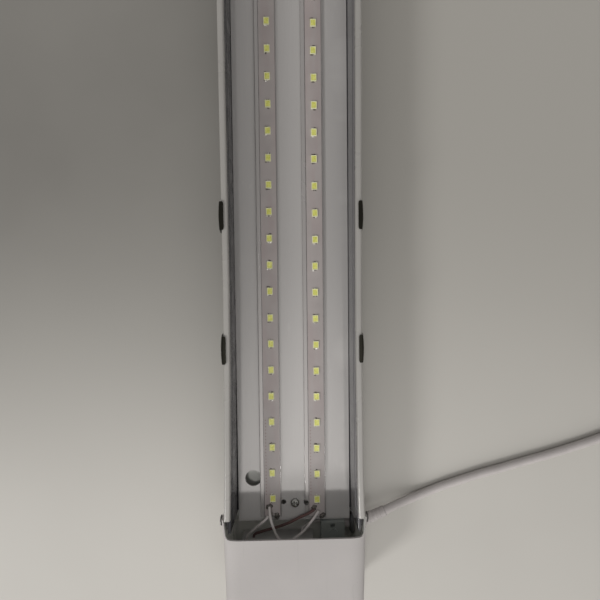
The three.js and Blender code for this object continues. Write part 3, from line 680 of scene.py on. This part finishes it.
# ---- Screws ----------------------------------------------------------------------------------
def pan_screw(name, place, head, high, shank, long, node, finish):
    """Domed head with a cross recess, and a plain shank."""
    bm = bmesh.new()
    dome = [(head * math.cos(a), 0.35 * high + 0.65 * high * math.sin(a)) for a in
            [math.radians(9 * k) for k in range(10)]]
    stem = [(0, -long), (shank * 0.6, -long), (shank, -long + 1), (shank, 0), (head * 0.97, 0)]
    lathe(bm, [*stem, *dome, (0, high)], 40, place)
    screw = mesh_object(name, bm, [finish])
    arm, reach = 0.2 * head, 0.62 * head
    def cross(wide, far):
        def build(tool):
            corners = ((-wide, -far), (wide, -far), (wide, far), (-wide, far))
            outline = fillet([(a, b, 0.2) for a, b in corners], 2)
            low = [tool.verts.new(place @ Vector((a * 0.7, b * 0.75, 0.3 * high))) for a, b in outline]
            top = [tool.verts.new(place @ Vector((a, b, high + 1))) for a, b in outline]
            for k in range(len(outline)):
                j = (k + 1) % len(outline)
                tool.faces.new((low[k], low[j], top[j], top[k]))
            tool.faces.new(low[::-1])
            tool.faces.new(top)
        return build
    carved(screw, [cross(arm, reach), cross(reach, arm)])
    piece_of(screw, replaced=(node,), slot="screw_steel")


for end, turn in (("near", Matrix()), ("far", Matrix.Rotation(math.pi, 4, "Z"))):
    tray_place = turn @ Matrix.Translation(TRAY_SCREW) @ Matrix.Rotation(0.5, 4, "Z")
    pan_screw(f"plate_screw_{end}", tray_place, 2.85, 1.9, 1.5, 7, f"tray_screw_{end}", SCREW_STEEL)
    for side, sign in (("left", -1), ("right", 1)):
        seat = Matrix.Translation((sign * SIDE_SCREW.x, SIDE_SCREW.y, SIDE_SCREW.z))
        # the side screws take the darker steel: painted shade
        pan_screw(f"wall_screw_{end}_{side}", turn @ seat @ Matrix.Rotation(sign * math.pi / 2, 4, "Y"),
                  3.0, 1.2, 1.5, 5.3, f"side_screw_{end}_{side}", DULL_STEEL_PAINTED_SHADE)


# ---- Spring clips ----------------------------------------------------------------------------
CLIP_HALF = 8.0
CLIP_THICK = 0.5
CLIP_BOW = 0.45
CLIP_CURL = 0.8                        # radius of the rolled foot's middle line
CLIP_CORNER = 1.4
HOOK_START, HOOK_REACH = -0.4, 2.45    # where the hooked top begins, and how far it runs inwards
CLIP_LEAF = (
    (0.75, 2.4), (1.0, 7), (1.05, 13), (0.7, 19), (0.1, 24.5), (-0.35, 28.2), (-0.8, 29.55), (-1.4, 29.8),
    (-2.75, 29.85),
)


def clip_mesh(bm, place):
    """Bent spring leaf: a rolled foot, a leaf bowed in plan, and a top hooked over the rim."""
    curl = [Vector((CLIP_CURL * math.cos(a), CLIP_CURL * math.sin(a), 0)) for a in
            [math.pi * (0.75 + 1.25 * k / 6) for k in range(7)]]
    line = smooth_line([*curl, *[Vector((a, b, 0)) for a, b in CLIP_LEAF]], 0.45)
    sides = []
    for sign in (1, -1):
        for k, here in enumerate(line):
            along = (line[min(k + 1, len(line) - 1)] - line[max(k - 1, 0)]).normalized()
            sides.append(here + Vector((along.y, -along.x, 0)) * sign * CLIP_THICK / 2)
    outline = sides[:len(line)] + sides[:len(line) - 1:-1]
    count = len(line)
    half_stations = (0, 2.5, 5, 6.6, 7.4, 7.85, CLIP_HALF)      # closer together at the rounded corners
    stations = [*[-y for y in half_stations[:0:-1]], *half_stations]
    rings = []
    for y in stations:
        corner = max(abs(y) - (CLIP_HALF - CLIP_CORNER), 0) / CLIP_CORNER
        short = 0.9 * (1 - math.sqrt(max(1 - corner * corner, 0)))
        ring = []
        for k, point in enumerate(outline):
            x, z = point.x, point.y
            share = min(max(z / 10, 0), 1) * min(max((x + 3) / 3, 0), 1)
            x += CLIP_BOW * (1 - (y / CLIP_HALF) ** 2) * share
            if x < HOOK_START and z > 29:
                x += short * (HOOK_START - x) / HOOK_REACH
            ring.append(bm.verts.new(place @ Vector((x, y, z))))
        rings.append(ring)
    total = len(outline)
    for low, high in zip(rings, rings[1:]):
        for k in range(total):
            bm.faces.new((low[k], low[(k + 1) % total], high[(k + 1) % total], high[k]))
    for ring in (rings[0][::-1], rings[-1]):
        for k in range(count - 1):
            j = total - 1 - k
            bm.faces.new((ring[k], ring[k + 1], ring[j - 1], ring[j]))


for side, sign in (("right", 1), ("left", -1)):
    for k, clip_y in enumerate(CLIP_YS):
        node = f"clip_{side}_{k + 1}"
        at = Matrix.Translation((sign * CLIP_FOOT.x, clip_y, CLIP_FOOT.z))
        if sign < 0:
            at = at @ Matrix.Rotation(math.pi, 4, "Z")
        bm = bmesh.new()
        clip_mesh(bm, at)
        edge = mesh_object(f"spring_{side}_{k + 1}", bm, [CLIP_STEEL], 50)
        piece_of(edge, node, replaced=(node,), slot="clip_steel")


# ---- End boxes -------------------------------------------------------------------------------
box_lean = leaning(BOX_LEAN, 2)


def box_solid(bm, half, z0, z1, end, mouth, radius, flip=1, soft=9.5):
    """Leaning box whose end closes in over its radius; its top falls away softly at the sides."""
    foot = radius * 0.7
    low = fillet([(-half, z0, foot), (half, z0, foot), (half, z1, 0), (-half, z1, 0)], 8)[:-2]
    crown = [Vector((half - soft * (1 - math.cos(a)), z1 - radius * (1 - math.sin(a)))) for a in
             [math.pi * k / 20 for k in range(11)]]
    outline = [*low, *crown, *[Vector((-p.x, p.y)) for p in reversed(crown)]]
    closing = [end + radius * (1 - math.cos(math.pi * k / 20)) for k in range(11)]
    stations = [*closing, *spaced(end + radius + 2, mouth, 2.0)]
    middle, half_high = (z1 + z0) / 2, (z1 - z0) / 2
    def move(x, y, z):
        reach = max(radius - (y - end), 0)
        inset = radius - math.sqrt(max(radius ** 2 - reach ** 2, 0))
        x, y, z = box_lean(x * (1 - inset / half), y, middle + (z - middle) * (1 - inset / half_high))
        return flip * x, flip * y, z
    prism_y(bm, outline, stations, move)


def end_box(end, flip):
    bm = bmesh.new()
    box_solid(bm, BOX_HALF_WIDTH, 0, RIM_TOP, BOX_END, BOX_MOUTH, BOX_RADIUS, flip)
    shell = mesh_object(f"cap_{end}", bm, [BOX_SHELL])
    wall = BOX_WALL
    screw_y = flip * SIDE_SCREW.y
    tools = [
        lambda bm: box_solid(bm, BOX_HALF_WIDTH - wall, wall, RIM_TOP - wall, BOX_END + wall, BOX_MOUTH + 5,
                             BOX_RADIUS - wall, flip),
        lambda bm: box_solid(bm, LIP_HALF, RIM_TOP / 2, RIM_TOP + 25, BOX_LIP, BOX_MOUTH + 10,
                             LIP_RADIUS, flip, LIP_RADIUS),
        lambda bm: rod_tool(bm, SCREW_HOLE, (-50, screw_y, SIDE_SCREW.z), (50, screw_y, SIDE_SCREW.z)),
    ]
    if flip > 0:
        tools.append(lambda bm: rod_tool(bm, GLAND_HOLE, (30, GLAND.y, GLAND.z), (50, GLAND.y, GLAND.z)))
    carved(shell, tools)
    shell.data.materials.clear()
    shell.data.materials.append(BOX_SHELL)
    shell.data.materials.append(PAINTED_LIGHT_WHITE)
    middle = Vector((0, flip * (BOX_END + BOX_MOUTH) / 2, RIM_TOP / 2))
    half_long = (BOX_MOUTH - BOX_END) / 2
    for face in shell.data.polygons:
        out = face.center / MM - middle
        out = Vector((out.x / BOX_HALF_WIDTH, out.y / half_long, out.z / middle.z))
        face.material_index = 0 if face.normal.dot(out) > 0 else 1     # faces that look inwards take the much paler white: painted light inside the box
    round_edges(shell, 0.3)
    piece_of(shell, replaced=(f"end_box_{end}",), slot="white_shell")


end_box("near", 1)
end_box("far", -1)

BRACKET_ENDS = (-297.2, -291.0)        # the ears that show between the trough and the box
for end, turn in (("near", Matrix()), ("far", Matrix.Rotation(math.pi, 4, "Z"))):
    bm = bmesh.new()
    section = mirrored([
        (0, 1.5, 0), (38.8, 1.5, 3), (38.8, 37.2, 0.3), (37.9, 37.2, 0.3), (37.9, 2.5, 2.1), (0, 2.5, 0),
    ])
    prism_y(bm, fillet(section, 6), spaced(*BRACKET_ENDS, 3), trough_lean, 0.15)
    bmesh.ops.transform(bm, matrix=turn, verts=bm.verts)
    hole = turn @ Vector((0, SIDE_SCREW.y, SIDE_SCREW.z))
    bracket = carved(mesh_object(f"joining_bracket_{end}", bm, [BRACKET]),
                     [lambda bm, at=hole: rod_tool(bm, 1.7, (-45, at.y, at.z), (45, at.y, at.z), 24)])
    piece_of(bracket, replaced=(f"end_bracket_{end}",), slot="bracket_steel")

# ---- Wires -----------------------------------------------------------------------------------
WIRE_RADIUS = 0.85
WIRES = {
    "jumper_wire": (WIRE_GREY, "grey_wire", (
        (-15.9, -296.8, 13.9), (-15.5, -300, 17.5), (-14.1, -303.9, 21), (-11.6, -309.3, 23.4),
        (-9.5, -312, 24.2), (-6.1, -314.2, 24.2), (-2.3, -313.5, 23.4), (5.3, -309.5, 20.8),
        (10.5, -304.9, 18), (15.6, -300.1, 13.9))),
    "supply_wire_return": (WIRE_GREY, "grey_wire", (
        (-16.8, -302.6, 13.7), (-18.6, -304.6, 14.8), (-24.6, -309, 16), (-29.5, -313.4, 15.6),
        (-31, -317.6, 14.4))),
    "supply_wire_red": (WIRE_RED, "red_wire", (
        (12.9, -299.2, 13.7), (8.4, -301.6, 14.2), (3.6, -303.9, 13.7), (-3, -307.4, 13.2),
        (-9.4, -310, 12.8), (-20, -313.2, 12.2), (-25.5, -315.4, 11.6), (-26.5, -317.6, 11))),
    "mains_wire_live": (WIRE_RED, "red_wire", (
        (17, -323.6, 6), (15.6, -323.9, 6.2), (14.2, -324.1, 6.6), (12.4, -324.1, 6.8))),
    "mains_wire_neutral": (WIRE_GREY, "grey_wire", (
        (17, -310.5, 6), (13, -310.8, 6.4), (9, -311.6, 7), (6, -313.4, 7.7), (5, -315.4, 8.2),
        (4.8, -317.6, 8.4))),
}
for node, (material, slot, points) in WIRES.items():
    lead_line = smooth_line(points, 0.8)
    cable(node.replace("wire", "lead"), lead_line, WIRE_RADIUS, material, replaced=(node,), slot=slot)


# ---- Cord gland, tie and plug ----------------------------------------------------------------
def gland_mesh():
    """Grommet through the wall, its tapered tail ringed with bend slots."""
    bm = bmesh.new()
    across = Matrix.Translation(GLAND) @ Matrix.Rotation(math.pi / 2, 4, "Y")
    wall = BOX_WALL
    nut = [(0, -2.6), (4.7, -2.6), (4.7, -1.9), (5.6, -1.9), (5.8, -1.7), (5.8, -0.5), (5.6, -0.3),
           (4.7, -0.3)]
    flange = [(4.7, 0.9), (5.7, 0.9), (6, 1.1), (6, 1.9), (5.7, 2.2), (0, 2.2)]
    lathe(bm, [*[(radius, height - wall) for radius, height in nut], *flange], 40, across)
    body = mesh_object("gland_body", bm, [PLUG])
    def tail(bm):
        turned = gland_out.to_track_quat("Z", "Y").to_matrix().to_4x4()
        along = Matrix.Translation(GLAND + Vector((1, 0, 0))) @ turned
        profile = [(0, -1), (3.9, -1), (3.9, 2.4)]
        for k in range(6):
            start = 3.2 + 2.6 * k
            radius = 3.85 - 0.6 * (start / GLAND_TAIL)
            sunk = radius - 0.25
            profile += [(radius, start), (sunk, start + 0.15), (sunk, start + 0.85), (radius, start + 1.0)]
        profile += [(3.25, GLAND_TAIL - 0.5), (3.1, GLAND_TAIL), (0, GLAND_TAIL)]
        lathe(bm, profile, 40, along)
    carved(body, [tail], "UNION")
    body.data.materials.clear()
    body.data.materials.append(PLUG)
    body.data.materials.append(NUT)
    for face in body.data.polygons:
        face.material_index = int(face.center.x / MM < GLAND.x - BOX_WALL)
    return body


gland = piece_of(gland_mesh(), replaced=("cord_gland",), slot="plug_plastic")

BOOT_START = Vector((0, 46, 7))        # distance from the coil and height of the plug's boot
plug_at = coil_end + coil_out * BOOT_START.y + Vector((0, 0, BOOT_START.z))
plug_place = Matrix.Translation(plug_at) @ Matrix.Rotation(COIL_EXIT_ANGLE, 4, "Z")
plug_axis = plug_place @ Matrix.Rotation(-math.pi / 2, 4, "X")
bm = bmesh.new()
relief = [(0, 0), (3.3, 0), (3.6, 0.3)]
for k in range(6):
    start = 2.2 + 3.0 * k
    radius = 3.6 + 1.6 * start / 21.7
    relief += [(radius, start), (radius - 0.45, start + 0.2), (radius - 0.4, start + 1.2),
               (radius + 0.08, start + 1.4)]
relief += [(5.2, 21.5), (0, 21.7)]
lathe(bm, relief, 36, plug_axis)
plug_relief = piece_of(mesh_object("plug_boot", bm, [PLUG]), replaced=("plug_relief",), slot="plug_plastic")

# Half widths of the plug's body, by distance from the start of its boot.
PLUG_WIDTHS = (
    (22, 5.4), (23, 6.0), (26, 8.2), (30, 10.0), (36, 11.4), (43, 12.1), (50, 12.4), (53.6, 12.4),
    (54.7, 12.0), (55, 11.4),
)
bm = bmesh.new()
rings = []
for y, half in PLUG_WIDTHS:
    thick = 6.9 - 2.4 * max(0, (12.4 - half) / 7.0)
    ring = fillet([(-half, -thick, 2.6), (half, -thick, 2.6), (half, thick, 2.6), (-half, thick, 2.6)], 6)
    rings.append([bm.verts.new(plug_place @ Vector((a, y, b))) for a, b in ring])
for low, high in zip(rings, rings[1:]):
    for k in range(len(low)):
        j = (k + 1) % len(low)
        bm.faces.new((low[k], low[j], high[j], high[k]))
bm.faces.new(rings[0][::-1])
bm.faces.new(rings[-1])
plug_body = piece_of(mesh_object("plug_shell", bm, [PLUG]), replaced=("plug_body",), slot="plug_plastic")

for side, x in (("left", -9.3), ("right", 9.3)):
    bm = bmesh.new()
    pin = [(0, 0), (2, 0), (2, 8), (1.92, 8.1), (1.92, 17), (1.7, 17.9), (1.2, 18.5), (0, 18.6)]
    pin_place = plug_place @ Matrix.Translation((x, 55.3, 0)) @ Matrix.Rotation(-math.pi / 2, 4, "X")
    lathe(bm, pin, 32, pin_place)
    piece_of(mesh_object(f"pin_{side}", bm, [SCREW_STEEL]), replaced=(f"plug_pin_{side}",),
                              slot="screw_steel")

bm = bmesh.new()
STRAP_IN, STRAP_OUT = 19.1, 42.4       # the loop's inner sides, from the coil's middle
STRAP_LOW, STRAP_HIGH = 0.05, 13.1
STRAP_THICK = 0.5
outer = fillet([(STRAP_IN - STRAP_THICK, STRAP_LOW, 1.6), (STRAP_OUT + STRAP_THICK, STRAP_LOW, 1.6),
                (STRAP_OUT + STRAP_THICK, STRAP_HIGH, 1.6), (STRAP_IN - STRAP_THICK, STRAP_HIGH, 1.6)], 5)
inner = fillet([(STRAP_IN, STRAP_LOW + STRAP_THICK, 1.1), (STRAP_OUT, STRAP_LOW + STRAP_THICK, 1.1),
                (STRAP_OUT, STRAP_HIGH - STRAP_THICK, 1.1), (STRAP_IN, STRAP_HIGH - STRAP_THICK, 1.1)], 5)
count = len(outer)
for ring in (outer, inner):
    for x in (-3, 3):
        for a, b in ring:
            bm.verts.new(COIL_AT + Vector((x, a, b)))
bm.verts.ensure_lookup_table()
grid = [bm.verts[k * count:(k + 1) * count] for k in range(4)]
for k in range(count):
    j = (k + 1) % count
    for low, high in ((0, 1), (1, 3), (3, 2), (2, 0)):
        bm.faces.new((grid[low][k], grid[low][j], grid[high][j], grid[high][k]))
tie = piece_of(mesh_object("tie_band", bm, [STRAP]), replaced=("cord_tie",), slot="tie_strap")

# ---- CAD nodes that keep their shape ---------------------------------------------------------
KEPT = {
    "tray_support": (BRACKET, 0.25), "tray_standoff": (SCREW_STEEL, 0.2),
    "driver_case": (CASE, 0.5), "driver_lid": (CASE, 0.4), "driver_board": (BOARD, 0.15),
    "terminal_block": (BLOCK, 0.4), "cord_inner_end": (CORD, 0.2),
}
for name, node in NODES.items():
    material, bevel = next((kept for start, kept in KEPT.items() if name.startswith(start)), (None, 0))
    if material:
        node.data.materials.clear()
        node.data.materials.append(material)
        round_edges(node, bevel)


# ---- Floor and light -------------------------------------------------------------------------
def pale_floor():
    """Plain pale floor with painted shade: darker far from the cord end, and more so on the left."""
    n = Nodes("floor")
    split = n.new("ShaderNodeSeparateXYZ")
    n.feed(split.inputs[0], n.place)
    near = n.new("ShaderNodeMapRange", interpolation_type="SMOOTHSTEP")
    for key, value in (("Value", split.outputs["Y"]), ("From Min", -0.07), ("From Max", -0.34)):
        n.feed(near.inputs[key], value)
    side = n.new("ShaderNodeMapRange", interpolation_type="SMOOTHSTEP")
    for key, value in (("Value", split.outputs["X"]), ("From Min", -0.06), ("From Max", 0.08)):
        n.feed(side.inputs[key], value)
    # Painted shade on the floor, deepest on the left away from the cord end.
    left = n.mixed(near.outputs["Result"], (0.21, 0.203, 0.19), (0.56, 0.545, 0.515))
    right = n.mixed(near.outputs["Result"], (0.42, 0.407, 0.38), (0.56, 0.545, 0.515))
    base = n.mixed(side.outputs["Result"], left, right)
    base = n.mixed(n.ranged(n.noise(4, 4), 0, 0.35), base, (0.40, 0.39, 0.365))
    return n.finish(Base_Color=base, Roughness=0.5, Specular_IOR_Level=0.35)


bpy.ops.mesh.primitive_plane_add(size=12.0, location=(0, 0, -0.0002))
floor = bpy.context.object
floor.name = "floor"
floor.data.materials.append(pale_floor())

WORLD_LOW = 0.30                       # the room's strength over the far end
WORLD_HIGH = 1.9                       # its strength over the cord end
BRIGHT_WAY = Vector((0.12, -0.75, 0.65)).normalized()

world = bpy.data.worlds.new("world")
scene.world = world
world.use_nodes = True
tree = world.node_tree
background = tree.nodes["Background"]
facing = tree.nodes.new("ShaderNodeVectorMath")
facing.operation = "DOT_PRODUCT"
facing.inputs[1].default_value = BRIGHT_WAY
tree.links.new(tree.nodes.new("ShaderNodeTexCoord").outputs["Generated"], facing.inputs[0])
ramp = tree.nodes.new("ShaderNodeMapRange")
ramp.interpolation_type = "SMOOTHSTEP"
for key, value in (("From Min", 0.56), ("From Max", 1.2), ("To Min", WORLD_LOW), ("To Max", WORLD_HIGH)):
    ramp.inputs[key].default_value = value
tree.links.new(facing.outputs["Value"], ramp.inputs["Value"])
background.inputs["Color"].default_value = (1.0, 0.975, 0.94, 1.0)
tree.links.new(ramp.outputs["Result"], background.inputs["Strength"])


def area_light(name, at, aim, size, power, colour=(1, 1, 1)):
    data = bpy.data.lights.new(name, "AREA")
    data.shape = "RECTANGLE"
    data.size, data.size_y = size
    data.energy = power
    data.color = colour
    lamp = bpy.data.objects.new(name, data)
    scene.collection.objects.link(lamp)
    lamp.location = at
    lamp.rotation_euler = (Vector(aim) - Vector(at)).to_track_quat("-Z", "Y").to_euler()


area_light("key", (-2.05, -1.92, 1.89), (-0.02, -0.3, 0.0), (0.65, 0.65), 40.0, (1.0, 0.985, 0.96))

lamp_data = bpy.data.lights.new("lamp", "SPOT")    # a pool of light over the cord end
lamp_data.energy = 6.6
lamp_data.color = (1.0, 0.985, 0.965)
lamp_data.spot_size = math.radians(42)
lamp_data.spot_blend = 1.0
lamp_data.shadow_soft_size = 0.09
lamp = bpy.data.objects.new("lamp", lamp_data)
scene.collection.objects.link(lamp)
lamp.location = (-0.12, -0.16, 1.0)
lamp.rotation_euler = (Vector((0.0, -0.43, 0.0)) - lamp.location).to_track_quat("-Z", "Y").to_euler()
lamp.visible_glossy = False
scene.view_settings.view_transform = "Standard"
